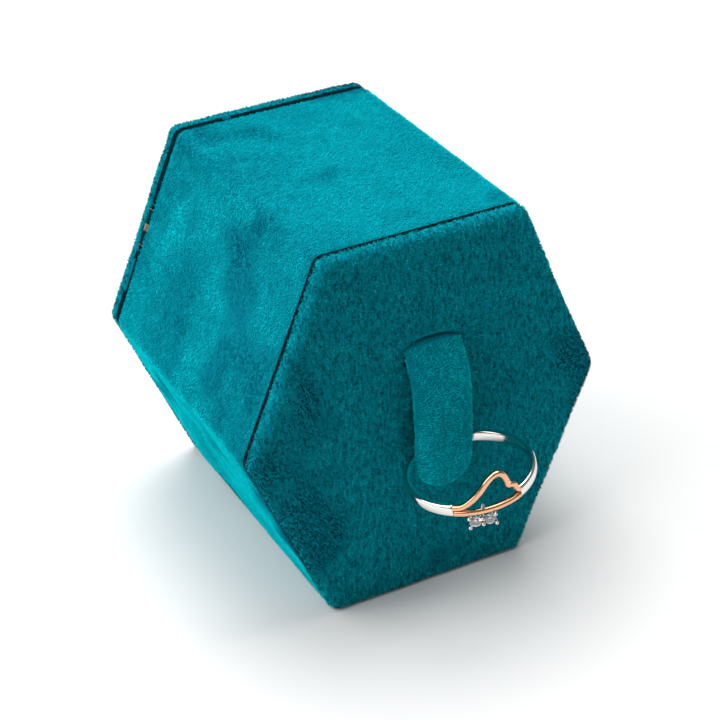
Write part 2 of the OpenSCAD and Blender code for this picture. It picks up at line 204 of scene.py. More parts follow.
def settle(made, body, replaces=()):
    """Says which body a piece rides on, and the nodes that it stands for."""
    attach(made, body)
    if replaces:
        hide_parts(*replaces)


def dress(node, material):
    """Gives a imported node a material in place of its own."""
    mesh = frame["nodes"][node].data
    mesh.materials.clear()
    mesh.materials.append(material)


def rings_to_faces(bm, rings, closed=False):
    """Quads between rings of as many points, and the rings' vertices."""
    rows = [[bm.verts.new(p) for p in ring] for ring in rings]
    pairs = list(zip(rows, rows[1:]))
    if closed:
        pairs.append((rows[-1], rows[0]))
    for one, two in pairs:
        count = len(one)
        for k in range(count):
            after = (k + 1) % count
            bm.faces.new((one[k], one[after], two[after], two[k]))
    return rows


def cap(bm, row, centre):
    """Closes a ring with triangles to a centre point."""
    middle = bm.verts.new(centre)
    for k, vert in enumerate(row):
        bm.faces.new((vert, row[(k + 1) % len(row)], middle))


# ---- Settings ----

class VelvetSettings(bpy.types.PropertyGroup):
    """The velvet and its pile. Real pile is finer; its tufts are drawn coarser so that they show."""

    pile: bpy.props.FloatProperty(
        name="Pile", description="Length of the pile", default=0.36 * MM, min=0.2 * MM, max=1.2 * MM,
        unit="LENGTH", precision=5)
    fibre: bpy.props.FloatProperty(
        name="Tuft", description="Radius of one tuft at its root", default=0.075 * MM, min=0.03 * MM,
        max=0.2 * MM, unit="LENGTH", precision=5)
    tufts: bpy.props.FloatProperty(
        name="Tufts", description="Tufts on a square millimetre", default=24.0, min=2.0, max=30.0)
    edge: bpy.props.FloatProperty(
        name="Edge", description="Radius of the padded edge at the front and the lid", default=1.1 * MM,
        min=0.3 * MM, max=1.5 * MM, unit="LENGTH", precision=5)
    corner: bpy.props.FloatProperty(
        name="Corner", description="Radius of the long corners", default=1.6 * MM, min=0.8 * MM,
        max=2.4 * MM, unit="LENGTH", precision=5)
    root_shade_colour: bpy.props.FloatVectorProperty(
        name="Root", description="Painted shade deep in the pile", subtype="COLOR", size=4,
        default=colour("#008494"), min=0, max=1)
    tip_colour: bpy.props.FloatVectorProperty(
        name="Tip", description="Colour of the pile's tips", subtype="COLOR", size=4,
        default=colour("#00E2EA"), min=0, max=1)
    crushed_colour: bpy.props.FloatVectorProperty(
        name="Crushed", description="Colour where the pile is brushed the other way", subtype="COLOR",
        size=4, default=colour("#007990"), min=0, max=1)


class RingSettings(bpy.types.PropertyGroup):
    """The ring's metals and stones."""

    gold: bpy.props.FloatVectorProperty(
        name="Rose gold", description="Colour of the plated strands", subtype="COLOR", size=4,
        default=colour("#F2B892"), min=0, max=1)
    silver: bpy.props.FloatVectorProperty(
        name="Silver", description="Colour of the shank", subtype="COLOR", size=4,
        default=colour("#F0EBE6"), min=0, max=1)
    gloss: bpy.props.FloatProperty(
        name="Gloss", description="Roughness of the polished metal", default=0.1, min=0.02, max=0.5)


class StageSettings(bpy.types.PropertyGroup):
    """The camera, the floor and the lights."""

    lens: bpy.props.FloatProperty(
        name="Lens", description="Focal length on a 36 mm sensor", default=99.485, min=20, max=200)
    floor_colour: bpy.props.FloatVectorProperty(
        name="Floor", description="Colour of the floor", subtype="COLOR", size=4,
        default=colour("#E9EAEA"), min=0, max=1)
    key_power: bpy.props.FloatProperty(
        name="Key", description="Power of the large overhead light", default=5.7, min=0, max=50)
    fill: bpy.props.FloatProperty(
        name="Fill", description="Strength of the light from all round", default=0.2, min=0, max=3)


# ---- Materials ----

def new_material(name):
    """An empty material with nodes."""
    material = bpy.data.materials.new(name)
    material.use_nodes = True
    material.node_tree.nodes.clear()
    return material


def object_coordinates(tree):
    """A piece's own coordinates in metres, which a pattern follows at every pose."""
    return add(tree, "ShaderNodeTexCoord").outputs["Object"]


def finish_shader(material, **sockets):
    """Ends a material with a Principled shader; underscores in a name stand for spaces."""
    tree = material.node_tree
    values = {name.replace("_", " "): value for name, value in sockets.items()}
    shader = add(tree, "ShaderNodeBsdfPrincipled", values)
    out = add(tree, "ShaderNodeOutputMaterial")
    tree.links.new(shader.outputs["BSDF"], out.inputs["Surface"])
    return material


def mixed(tree, factor, one, two):
    """A colour between two colours."""
    node = add(tree, "ShaderNodeMix", {0: factor}, data_type="RGBA")
    for index, value in ((6, one), (7, two)):
        if isinstance(value, bpy.types.NodeSocket):
            tree.links.new(value, node.inputs[index])
        else:
            node.inputs[index].default_value = value
    return node.outputs[2]


def ramped(tree, factor, low_at, high_at):
    """A factor stretched so that low_at gives 0 and high_at gives 1."""
    node = add(tree, "ShaderNodeMapRange", {"Value": factor, "From Min": low_at, "From Max": high_at})
    return node.outputs[0]


SWIRL = 15.4 * MM  # size of the areas where the pile lies one way
SWIRL_TURN = 2.4  # how much those areas turn the nap
CLUMP = 1.1 * MM  # size of the small clumps that the ruffle leans together
LAY = 0.9  # how far the pile leans, in parts of its length
SHORTEST, LONGEST = 0.75, 1.15  # sizes of the tufts, in parts of the one that is set
STREAK = 1.2 * MM  # size of the streaks; a tuft's own shade is too fine to show, so they are coarser
CRUSH_FROM, CRUSH_TO = 0.54, 0.66  # slow noise at which the pile starts to look crushed, and fully does
SHEEN = colour("#20D8E4")


def pile_material(name, tip, root, crushed, streak, turn=0.75):
    """Polyester velvet, cut pile: painted shade towards the tufts' roots, bright at the tips, with a soft
    sheen.
    """
    material = new_material(name)
    tree = material.node_tree
    along = add(tree, "ShaderNodeAttribute", attribute_name="tip").outputs["Fac"]
    lay = add(tree, "ShaderNodeAttribute", attribute_name="crush").outputs["Fac"]
    place = object_coordinates(tree)
    turned = add(tree, "ShaderNodeMapping", {
        "Vector": place, "Rotation": (0.0, turn, 0.3), "Scale": (3.0, 1.0, 1.0)})
    streaks = add(tree, "ShaderNodeTexNoise", {
        "Vector": turned.outputs[0], "Scale": 1 / STREAK, "Detail": 2.0})
    shade = mixed(tree, ramped(tree, lay, CRUSH_FROM, CRUSH_TO), tip, crushed)
    streaked = mixed(tree, streak, shade, root)
    shade = mixed(tree, ramped(tree, streaks.outputs[0], 0.4, 0.6), streaked, shade)
    # Painted shade: each tuft darkens to the root colour towards its base, deep in the pile
    shade = mixed(tree, ramped(tree, along, -0.3, 0.5), root, shade)
    return finish_shader(
        material, Base_Color=shade, Roughness=0.9, Specular_IOR_Level=0.04,
        Sheen_Weight=0.3, Sheen_Roughness=0.4, Sheen_Tint=SHEEN)


def cloth_material(name, tip, root):
    """Woven or flocked polyester, matt and finely grained: ground cloth, the painted shade of seams and slit,
    and linings.
    """
    material = new_material(name)
    tree = material.node_tree
    place = object_coordinates(tree)
    tufts = add(tree, "ShaderNodeTexNoise", {"Vector": place, "Scale": 1 / (0.5 * MM), "Detail": 3.0})
    shade = mixed(tree, ramped(tree, tufts.outputs[0], 0.3, 0.7), root, tip)
    bump = add(tree, "ShaderNodeBump", {"Height": tufts.outputs[0], "Distance": 0.2 * MM, "Strength": 0.8})
    return finish_shader(
        material, Base_Color=shade, Roughness=0.9, Specular_IOR_Level=0.04, Normal=bump.outputs[0],
        Sheen_Weight=0.2, Sheen_Roughness=0.4, Sheen_Tint=SHEEN)


WEAR = 0.35  # how strongly the scratches change a metal's colour
SCRATCH = 0.35 * MM  # size of the scratches; real ones are finer, and these are coarse enough to show


def metal_material(name, tint, gloss):
    """Plated metal, polished, tumbled or stamped: a clean gloss with faint wear that follows no line."""
    material = new_material(name)
    tree = material.node_tree
    place = object_coordinates(tree)
    scratches = add(tree, "ShaderNodeTexNoise", {"Vector": place, "Scale": 1 / SCRATCH, "Detail": 5.0})
    dulled = ramped(tree, scratches.outputs[0], -1.0 / WEAR, 1.0 + 1.0 / WEAR)
    rough = add(tree, "ShaderNodeMapRange", {
        "Value": scratches.outputs[0], "To Min": gloss * 0.7, "To Max": gloss * 1.4}).outputs[0]
    worn = mixed(tree, dulled, tint, tuple(c * 0.85 for c in tint[:3]) + (1.0,))
    bump = add(tree, "ShaderNodeBump", {
        "Height": scratches.outputs[0], "Distance": 0.004 * MM, "Strength": 0.3})
    return finish_shader(
        material, Base_Color=worn, Metallic=1.0, Roughness=rough, Normal=bump.outputs[0])


def stone_material():
    """Cubic zirconia, cut and polished: clear, with a high index that gives it fire."""
    material = new_material("cubic zirconia, cut and polished")
    return finish_shader(
        material, Base_Color=colour("#F6F8FF"), Transmission_Weight=1.0, Roughness=0.0, IOR=2.15)


def board_material():
    """Grey board, pressed from waste paper: matt, with short fibres and specks."""
    material = new_material("grey board, pressed")
    tree = material.node_tree
    place = object_coordinates(tree)
    fibres = add(tree, "ShaderNodeTexNoise", {"Vector": place, "Scale": 1 / (0.6 * MM), "Detail": 8.0})
    layers = add(tree, "ShaderNodeTexWave", {
        "Vector": place, "Scale": 1 / (3.0 * MM), "Distortion": 6.0, "Detail": 3.0}, bands_direction="Y")
    shade = mixed(tree, ramped(tree, fibres.outputs[0], 0.35, 0.65), colour("#8D8779"), colour("#BDB6A6"))
    shade = mixed(tree, ramped(tree, layers.outputs["Fac"], 0.0, 3.0), shade, colour("#7C766A"))
    bump = add(tree, "ShaderNodeBump", {"Height": fibres.outputs[0], "Distance": 0.05 * MM, "Strength": 0.7})
    return finish_shader(
        material, Base_Color=shade, Roughness=0.9, Specular_IOR_Level=0.2, Normal=bump.outputs[0])


def floor_material(settings):
    """Matt white paper: even, with a very faint tooth."""
    material = new_material("paper backdrop, matt")
    tree = material.node_tree
    place = object_coordinates(tree)
    tooth = add(tree, "ShaderNodeTexNoise", {"Vector": place, "Scale": 1 / (1.5 * MM), "Detail": 2.0})
    bump = add(tree, "ShaderNodeBump", {"Height": tooth.outputs[0], "Distance": 0.01 * MM, "Strength": 0.2})
    return finish_shader(
        material, Base_Color=tuple(settings.floor_colour), Roughness=0.8,
        Specular_IOR_Level=0.2, Normal=bump.outputs[0])


LOOKS = {}  # the materials by the look they give, filled by the first operator


# ---- Pile by Geometry Nodes ----

def pile_tree(name):
    """A tree that grows tufts on a surface: short tapered spikes that lean with the nap."""
    tree = bpy.data.node_groups.new(name, "GeometryNodeTree")
    face = tree.interface
    face.new_socket("Surface", in_out="INPUT", socket_type="NodeSocketGeometry")
    for label, kind, value in (
        ("Tufts on a square metre", "NodeSocketFloat", 1.7e7),
        ("Length", "NodeSocketFloat", 0.6 * MM),
        ("Radius", "NodeSocketFloat", 0.08 * MM),
        ("Lay", "NodeSocketFloat", 0.6),
        ("Ruffle", "NodeSocketFloat", 1.0),
        ("Nap", "NodeSocketVector", (0, 0, -1)),
        ("Seed", "NodeSocketInt", 1),
        ("Material", "NodeSocketMaterial", None),
    ):
        socket = face.new_socket(label, in_out="INPUT", socket_type=kind)
        if value is not None:
            socket.default_value = value
    face.new_socket("Pile", in_out="OUTPUT", socket_type="NodeSocketGeometry")
    source = add(tree, "NodeGroupInput").outputs
    points = add(tree, "GeometryNodeDistributePointsOnFaces", {
        "Mesh": source["Surface"], "Density": source["Tufts on a square metre"], "Seed": source["Seed"]},
        distribute_method="RANDOM")
    place = add(tree, "GeometryNodeInputPosition").outputs[0]
    broad = add(tree, "ShaderNodeTexNoise", {"Vector": place, "Scale": 1 / SWIRL, "Detail": 2.0})
    fine = add(tree, "ShaderNodeTexNoise", {"Vector": place, "Scale": 1 / CLUMP, "Detail": 1.0})
    # Both noises run from 0 to 1, so taking half away lets them lean the pile to either side
    half = (0.5, 0.5, 0.5)
    swirl = add(tree, "ShaderNodeVectorMath", {0: broad.outputs["Color"], 1: half}, operation="SUBTRACT")
    swirl = add(tree, "ShaderNodeVectorMath", {0: swirl.outputs[0], "Scale": SWIRL_TURN}, operation="SCALE")
    ruffle = add(tree, "ShaderNodeVectorMath", {0: fine.outputs["Color"], 1: half}, operation="SUBTRACT")
    ruffle = add(tree, "ShaderNodeVectorMath", {
        0: ruffle.outputs[0], "Scale": source["Ruffle"]}, operation="SCALE")
    lean = add(tree, "ShaderNodeVectorMath", {0: source["Nap"], 1: swirl.outputs[0]}, operation="ADD")
    lean = add(tree, "ShaderNodeVectorMath", {0: lean.outputs[0], 1: ruffle.outputs[0]}, operation="ADD")
    lean = add(tree, "ShaderNodeVectorMath", {0: lean.outputs[0], "Scale": source["Lay"]}, operation="SCALE")
    upright = add(tree, "ShaderNodeVectorMath", {
        0: points.outputs["Normal"], 1: lean.outputs[0]}, operation="ADD")
    turned = add(tree, "FunctionNodeAlignRotationToVector", {"Vector": upright.outputs[0]}, axis="Z")
    tuft = add(tree, "GeometryNodeMeshCone", {
        "Vertices": 3, "Radius Top": 0.0, "Radius Bottom": source["Radius"], "Depth": source["Length"]})
    tuft_place = add(tree, "GeometryNodeInputPosition").outputs[0]
    height = add(tree, "ShaderNodeSeparateXYZ", {0: tuft_place}).outputs["Z"]
    share = add(tree, "ShaderNodeMath", {0: height, 1: source["Length"]}, operation="DIVIDE")
    tuft = add(tree, "GeometryNodeStoreNamedAttribute", {
        "Geometry": tuft.outputs["Mesh"], "Name": "tip", "Value": share.outputs[0]}, data_type="FLOAT")
    crush = add(tree, "GeometryNodeStoreNamedAttribute", {
        "Geometry": points.outputs["Points"], "Name": "crush", "Value": broad.outputs[0]}, data_type="FLOAT")
    size = add(tree, "FunctionNodeRandomValue", {2: SHORTEST, 3: LONGEST, "Seed": source["Seed"]})
    grown = add(tree, "GeometryNodeInstanceOnPoints", {
        "Points": crush.outputs[0], "Instance": tuft.outputs[0], "Rotation": turned.outputs[0],
        "Scale": size.outputs[1]})
    real = add(tree, "GeometryNodeRealizeInstances", {0: grown.outputs[0]})
    done = add(tree, "GeometryNodeSetMaterial", {"Geometry": real.outputs[0], "Material": source["Material"]})
    add(tree, "NodeGroupOutput", {"Pile": done.outputs[0]})
    return tree


def press_flat(mesh):
    """Presses the pile that would reach below the floor flat on it."""
    points = np.empty(3 * len(mesh.vertices), np.float32)
    mesh.vertices.foreach_get("co", points)
    points[2::3] = np.maximum(points[2::3], 0.0)
    mesh.vertices.foreach_set("co", points)
    mesh.update()


def grow_pile(name, bm, body, nap, seed, ruffle, tufts, look="pile"):
    """Grows pile on an open surface, with tufts on each square millimetre, as one plain mesh."""
    settings = bpy.context.scene.ring_box_velvet
    tree = bpy.data.node_groups.get("pile") or pile_tree("pile")
    ground = bpy.data.meshes.new(name + "_ground")
    bm.to_mesh(ground)
    bm.free()
    seat = bpy.data.objects.new(name + "_ground", ground)
    bpy.context.scene.collection.objects.link(seat)
    modifier = seat.modifiers.new("pile", "NODES")
    modifier.node_group = tree
    keys = {s.name: s.identifier for s in tree.interface.items_tree if s.in_out == "INPUT"}
    values = {
        "Tufts on a square metre": tufts / MM ** 2,
        "Length": settings.pile,
        "Radius": settings.fibre,
        "Lay": LAY,
        "Ruffle": ruffle,
        "Seed": seed,
        "Material": LOOKS[look],
    }
    for label, value in values.items():
        modifier[keys[label]] = value
    modifier[keys["Nap"]] = nap
    depsgraph = bpy.context.evaluated_depsgraph_get()
    mesh = bpy.data.meshes.new_from_object(seat.evaluated_get(depsgraph), depsgraph=depsgraph)
    bpy.data.objects.remove(seat)
    bpy.data.meshes.remove(ground)
    mesh.name = name
    press_flat(mesh)
    made = bpy.data.objects.new(name, mesh)
    bpy.context.scene.collection.objects.link(made)
    if not mesh.materials:
        mesh.materials.append(values["Material"])
    settle(made, body)
    return made


# ---- Velvet shells ----

WOBBLE = 0.16 * MM  # how far the cloth rises and dips
WIDE_DIP = 9 * MM  # size of the slow dips
SMALL_DIP = 3.1 * MM  # size of the quick ones
SMALL_SHARE = 0.45  # depth of the quick ones, in parts of the slow ones


def wobbled(point, out):
    """A point of the cloth moved along out by slow noise, as hand-wrapped cloth lies."""
    slow = noise.noise(point / WIDE_DIP)
    quick = noise.noise(point / SMALL_DIP + Vector((7, 3, 1)))
    return point + out * WOBBLE * (slow + SMALL_SHARE * quick)


def shell_ring(y, inset, radius, scale=1.0):
    """One ring of a shell: the outline at a depth, shrunk about the middle for a cap."""
    ring = []
    for x, z in outline(inset, radius):
        ring.append(Vector((x * scale, y, MIDDLE + (z - MIDDLE) * scale)))
    return ring


CAP_RINGS = 24  # rings from the middle of the front or the lid to its edge
SIDE_RINGS = 34  # rings along the sides
LEAST_CORNER = 0.6 * MM  # radius that a corner keeps where an edge is rounded


def cap_scales():
    """Shrink factors of a cap's rings, from near the middle out to the edge."""
    return [(k + 1) / CAP_RINGS for k in range(CAP_RINGS - 1)]


def rounded_edge(y_face, y_side, radius, steps=7):
    """(y, inset) along a quarter round from a face to a side, with y_side telling which way."""
    way = 1 if y_side > y_face else -1
    points = []
    for k in range(steps + 1):
        t = k / steps * math.pi / 2
        points.append((y_face + way * radius * (1 - math.cos(t)), radius * (1 - math.sin(t))))
    return points


def velvet_side(y0, y1, steps):
    """(y, inset) along a straight side between two planes."""
    return [(y0 + (y1 - y0) * k / steps, 0.0) for k in range(1, steps)]


def outside_rings(profile, corner, cap_first):
    """Rings of the outer surface along a profile of (y, inset), with cap rings first if asked."""
    rings = []
    first_y, first_inset = profile[0]
    if cap_first:
        for scale in cap_scales():
            rings.append(shell_ring(first_y, first_inset, corner, scale))
    for y, inset in profile:
        rings.append(shell_ring(y, inset, max(corner - inset * 0.4, LEAST_CORNER)))
    moved = []
    for ring in rings:
        row = []
        for point in ring:
            out = Vector((point.x, 0, point.z - MIDDLE)).normalized()
            row.append(wobbled(point, out * 0.6 + Vector((0, math.copysign(1, first_y), 0))))
        moved.append(row)
    return moved


RESTING = 0.3 * MM  # the box stands on its pile, which lifts the cloth this far


def clamp_floor(rings):
    """Keeps the cloth above the pile that it stands on."""
    for ring in rings:
        for point in ring:
            point.z = max(point.z, RESTING)
    return rings


SEAM = 0.75 * MM  # half width of the seam behind the front, at the surface
GROOVE = 0.8 * MM  # the same for the lid's groove
CLEAR = 0.02 * MM  # keeps two surfaces from lying in one plane
INNER_CORNER = 0.4 * MM  # radius of the cloth's corners against the board


def turned_in(y_edge, way, width):
    """(y, inset) where the cloth turns in towards a seam at y_edge; way points out of the seam."""
    return [
        (y_edge + way * width, 0.0), (y_edge + way * width * 0.55, width * 0.14),
        (y_edge + way * width * 0.2, width * 0.45), (y_edge + way * CLEAR, width * 0.98),
    ]


def faces_profile(kind, edge, bare=False):
    """Outer profile of the front, side or lid velvet as (y, inset), less its glued edges if bare."""
    seam = turned_in(Y_WALL, -1, SEAM)
    seam_back = turned_in(Y_WALL, 1, SEAM)
    groove = turned_in(Y_RIM, -1, GROOVE)
    groove_back = turned_in(Y_LID, 1, GROOVE)
    keep = 2 if bare else 4
    if kind == "front":
        return rounded_edge(Y_FRONT, Y_WALL, edge) + seam[:keep]
    if kind == "lid":
        return rounded_edge(Y_BACK, Y_LID, edge) + groove_back[:keep]
    middle = velvet_side(Y_WALL + SEAM, Y_RIM - GROOVE, SIDE_RINGS)
    return seam_back[:keep][::-1] + middle + groove[:keep]


def cloth_rings(kind, bare=False):
    """Rings of the outer surface of the front, side or lid velvet."""
    settings = bpy.context.scene.ring_box_velvet
    profile = faces_profile(kind, settings.edge, bare)
    return clamp_floor(outside_rings(profile, settings.corner, kind != "side"))


def shell_bmesh(kind):
    """A closed shell of cloth: its outer surface, and its back face against the board."""
    rings = cloth_rings(kind)
    bm = bmesh.new()
    if kind == "side":
        for y in (Y_RIM - CLEAR, Y_WALL + CLEAR):
            rings.append(shell_ring(y, CLOTH + CLEAR, INNER_CORNER))
        rings_to_faces(bm, rings, closed=True)
        return bm
    if kind == "front":
        back_y, open_y = Y_BOARD - CLEAR, Y_WALL - CLEAR
    else:
        back_y, open_y = Y_LID_BOARD + CLEAR, Y_LID + CLEAR
    for y in (open_y, back_y):
        rings.append(shell_ring(y, CLOTH - CLEAR, INNER_CORNER))
    rows = rings_to_faces(bm, rings)
    cap(bm, rows[0], sum(rings[0], Vector()) / len(rings[0]))
    cap(bm, rows[-1], Vector((0, back_y, MIDDLE)))
    return bm


def pile_ground(kind):
    """The open outer surface that the pile grows on."""
    rings = cloth_rings(kind, bare=True)
    bm = bmesh.new()
    rows = rings_to_faces(bm, rings)
    if kind != "side":
        cap(bm, rows[0], sum(rings[0], Vector()) / len(rings[0]))
    bmesh.ops.recalc_face_normals(bm, faces=bm.faces)
    probe = max(bm.faces, key=lambda f: f.calc_center_median().z)
    if probe.normal.z < 0:
        bmesh.ops.reverse_faces(bm, faces=bm.faces)
    return bm


FACING_T = 0.12 * MM  # how far a facing stands out from its board
FACING_IN = 1.2 * MM  # inset of a facing's outer edge, clear of the hinge barrel


def facing_bmesh(y0, y1, inside):
    """A flat hexagonal frame of thin cloth that covers the board round the opening."""
    bm = bmesh.new()
    # Radii of the frame's outer and inner corners
    wide, narrow = 0.8 * MM, 0.3 * MM
    rings = [
        shell_ring(y0, FACING_IN, wide), shell_ring(y1, FACING_IN, wide),
        shell_ring(y1, inside, narrow), shell_ring(y0, inside, narrow),
    ]
    rings_to_faces(bm, rings, closed=True)
    return bm


PIN_WAY = Vector((SIDE_NZ, 0, SIDE_NX))  # along the hinge pin, up the upper left side
PIN_OUT = Vector((-SIDE_NX, 0, SIDE_NZ))  # out of that side
PIN_BACK = Vector((0, 1, 0))  # from the case to the lid
BARREL_ROOM = 0.9 * MM  # radius of the room for the hinge barrel in both cloths
BARREL_HALF = 3.3 * MM  # half length of that room
BARREL_BARE = 0.6 * MM  # half length of the barrel that shows between the two strips
STRIP_END = 2.85 * MM  # distance of a strip's outer end from the barrel's middle
STRIP_IN = 0.62 * MM  # inner radius of a strip, just clear of the barrel
STRIP_OUT = 0.72 * MM  # outer radius of a strip
STRIP_BACK = -5  # degrees round the barrel, from outwards, where a strip ends towards the lid
STRIP_FRONT = 80  # the same towards the case
STRIP_STEPS = 14  # steps round the barrel
STRIP_RINGS = 8  # steps along it


def hinge_strip_bmesh():
    """Two short strips of velvet edge, bent over the hinge barrel on both sides of its middle."""
    bm = bmesh.new()
    there = range(STRIP_STEPS + 1)
    for start, end in ((-STRIP_END, -BARREL_BARE), (BARREL_BARE, STRIP_END)):
        rings = []
        for k in range(STRIP_RINGS + 1):
            place = HINGE + PIN_WAY * (start + (end - start) * k / STRIP_RINGS)
            ring = []
            for radius, sweep in ((STRIP_OUT, there), (STRIP_IN, reversed(there))):
                for i in sweep:
                    a = math.radians(STRIP_BACK + (STRIP_FRONT - STRIP_BACK) * i / STRIP_STEPS)
                    ring.append(place + (PIN_OUT * math.cos(a) - PIN_BACK * math.sin(a)) * radius)
            rings.append(ring)
        rows = rings_to_faces(bm, rings)
        for row in (rows[0], rows[-1]):
            for i in range(STRIP_STEPS):
                bm.faces.new((row[i], row[i + 1], row[-i - 2], row[-i - 1]))
    return bm


SLIT_W = TONGUE_W / 2 + 0.1 * MM  # half width of the slit
SLIT_TOP = SLIT.z + 1.0 * MM
SLIT_LOW = SLIT.z - 2.9 * MM  # hidden behind the tongue
SLIT_ARCH = 1.6 * MM  # rise of the arch above the slit's straight sides
ARCH_STEPS = 12
BARE_LIP = 0.2 * MM  # the pile is worn off this far round the slit


def slit_outline():
    """The slit in the front velvet as (x, z): straight below, arched above."""
    points = [(TONGUE_X + SLIT_W, SLIT_LOW)]
    for k in range(ARCH_STEPS + 1):
        a = math.pi * k / ARCH_STEPS
        height = SLIT_TOP - SLIT_ARCH + SLIT_ARCH * math.sin(a)
        points.append((TONGUE_X + SLIT_W * math.cos(a), height))
    points.append((TONGUE_X - SLIT_W, SLIT_LOW))
    return points


def slit_cutter():
    """A closed prism that cuts the slit."""
    shape = slit_outline()
    depths = (Y_FRONT - 3 * MM, Y_BOARD + 0.01 * MM)
    bm = bmesh.new()
    rows = rings_to_faces(bm, [[Vector((x, y, z)) for x, z in shape] for y in depths])
    bm.faces.new(rows[0])
    bm.faces.new(rows[1])
    bmesh.ops.recalc_face_normals(bm, faces=bm.faces)
    mesh = bpy.data.meshes.new("slit_cutter")
    bm.to_mesh(mesh)
    bm.free()
    made = bpy.data.objects.new("slit_cutter", mesh)
    bpy.context.scene.collection.objects.link(made)
    return made


def make_room(shell):
    """Pushes a cloth back from the hinge barrel, as a maker presses it into the groove."""
    for vert in shell.data.vertices:
        away = vert.co - HINGE
        along_pin = away.dot(PIN_WAY)
        away -= PIN_WAY * along_pin
        if abs(along_pin) < BARREL_HALF and away.length < BARREL_ROOM:
            vert.co += away.normalized() * (BARREL_ROOM - away.length)


def in_slit(point):
    """Tells whether pile at this point would grow in the slit or over its lips."""
    wide = SLIT_W + BARE_LIP
    away = abs(point.x - TONGUE_X) / wide
    arch = SLIT_TOP + BARE_LIP - SLIT_ARCH * (1 - math.sqrt(max(0.0, 1 - away ** 2)))
    return away < 1 and SLIT_LOW < point.z < arch and point.y < Y_BOARD


def cut_mesh(target, cutter):
    """Cuts target's mesh with cutter and drops the cutter."""
    modifier = target.modifiers.new("cut", "BOOLEAN")
    modifier.object = cutter
    modifier.operation = "DIFFERENCE"
    modifier.solver = "EXACT"
    depsgraph = bpy.context.evaluated_depsgraph_get()
    mesh = bpy.data.meshes.new_from_object(target.evaluated_get(depsgraph), depsgraph=depsgraph)
    target.modifiers.remove(modifier)
    target.data = mesh
    bpy.data.objects.remove(cutter)


def shade_seams(shell):
    """Gives the faces that turn in at a seam or groove a near-black material: painted shade in the seams and
    the groove.
    """
    shell.data.materials.append(LOOKS["glued"])
    for face in shell.data.polygons:
        y = face.center.y
        near_seam = abs(y - Y_WALL) < 0.5 * SEAM
        if near_seam or Y_RIM - 0.5 * GROOVE < y < Y_LID + 0.5 * GROOVE:
            face.material_index = 1


# ---- Operators ----

SHADED_TIP, SHADED_ROOT = 0.78, 0.2  # brightness of the pile's painted shade on the front and lid, in parts of the set tip and root


class RINGBOX_OT_looks(bpy.types.Operator):
    """Makes the materials that the pieces share"""

    bl_idname = "ringbox.looks"
    bl_label = "Materials"

    def execute(self, context):
        velvet = context.scene.ring_box_velvet
        ring = context.scene.ring_box_ring
        tip = tuple(velvet.tip_colour)
        root = tuple(velvet.root_shade_colour)
        crushed = tuple(velvet.crushed_colour)
        shaded_tip = tuple(c * SHADED_TIP for c in tip)
        shaded_root = tuple(c * SHADED_ROOT for c in root)
        LOOKS["pile"] = pile_material(
            "polyester velvet, cut pile", tip, root, crushed, streak=0.3)
        LOOKS["brushed_across"] = pile_material(
            "polyester velvet, pile brushed across", tip, root, tip, streak=0.6, turn=1.4)
        # Painted shade: a darker copy of the pile for the front and the lid
        LOOKS["shaded_pile"] = pile_material(
            "polyester velvet, pile darkened by painted shade", shaded_tip, shaded_root, shaded_root, streak=0.9)
        # The ground cloth mixes the crushed colour with the root's painted shade, as it lies shaded under the
        # pile
        LOOKS["cloth"] = cloth_material("polyester velvet, ground cloth", crushed, root)
        # Painted shade: near-black cloth for the seams, the groove, the hinge strips and the slit, where
        # shade falls
        LOOKS["glued"] = cloth_material("polyester velvet, glued edge", colour("#003440"), colour("#001A22"))
        LOOKS["flock"] = cloth_material("flocked card, short nap", colour("#00697A"), colour("#003B48"))
        LOOKS["gold"] = metal_material("rose gold plate, polished", tuple(ring.gold), ring.gloss)
        LOOKS["silver"] = metal_material("rhodium plated silver, polished", tuple(ring.silver), ring.gloss)
        LOOKS["hinge"] = metal_material("rose gold plated brass, tumbled", colour("#E0A583"), 0.22)
        LOOKS["steel"] = metal_material("zinc plated steel, stamped", colour("#B9BBC0"), 0.35)
        LOOKS["magnet"] = metal_material("nickel plated magnet", colour("#C9C7C2"), 0.18)
        LOOKS["stone"] = stone_material()
        LOOKS["board"] = board_material()
        return {"FINISHED"}


class RINGBOX_OT_front(bpy.types.Operator):
    """Makes the front velvet with its slit and pile"""

    bl_idname = "ringbox.front"
    bl_label = "Front velvet"

    def execute(self, context):
        front = piece_from(
            "front_cloth", lambda: shell_bmesh("front"), LOOKS["cloth"], "case", ["front_velvet"])
        cut_mesh(front, slit_cutter())
        shade_seams(front)
        ground = pile_ground("front")
        gone = [f for f in ground.faces if in_slit(f.calc_center_median())]
        bmesh.ops.delete(ground, geom=gone, context="FACES")
        # Fewer tufts than on the sides keep this large piece under 200,000 triangles
        # The front's pile takes the darker copy, painted shade
        grow_pile(
            "front_pile", ground, "case", nap=(0.25, 0, -0.8), seed=11, ruffle=2.2, tufts=16.5,
            look="shaded_pile")
        return {"FINISHED"}


# Anticlockwise from the right corner
SIDES = ("upper_right", "top", "upper_left", "lower_left", "bottom", "lower_right")


